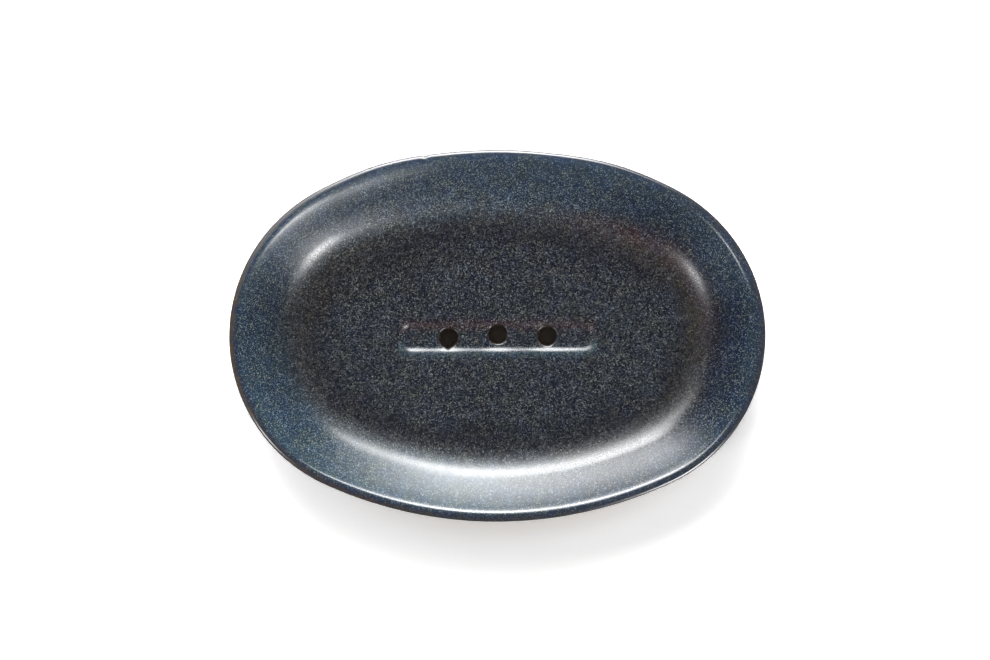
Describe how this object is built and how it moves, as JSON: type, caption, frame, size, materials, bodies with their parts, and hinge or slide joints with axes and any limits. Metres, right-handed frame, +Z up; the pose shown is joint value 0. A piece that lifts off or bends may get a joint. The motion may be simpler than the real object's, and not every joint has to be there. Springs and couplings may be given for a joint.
{
  "type": "soap dish",
  "caption": "Shallow oval soap dish in dark speckled glaze, with a rounded lip, a draining trough with holes in the floor and a foot ring.",
  "frame": {"origin": "on the table, under the centre of the dish", "axes": "+Z up, +X along the length of the dish, +Y towards its back long side"},
  "size_m": [0.14, 0.097, 0.019],
  "materials": {
    "glaze": "satin reactive glaze, dark blue to brown, finely speckled; bare clay where it stands"
  },
  "bodies": {
    "root": {"dish": "glaze"}
  },
  "joints": []
}
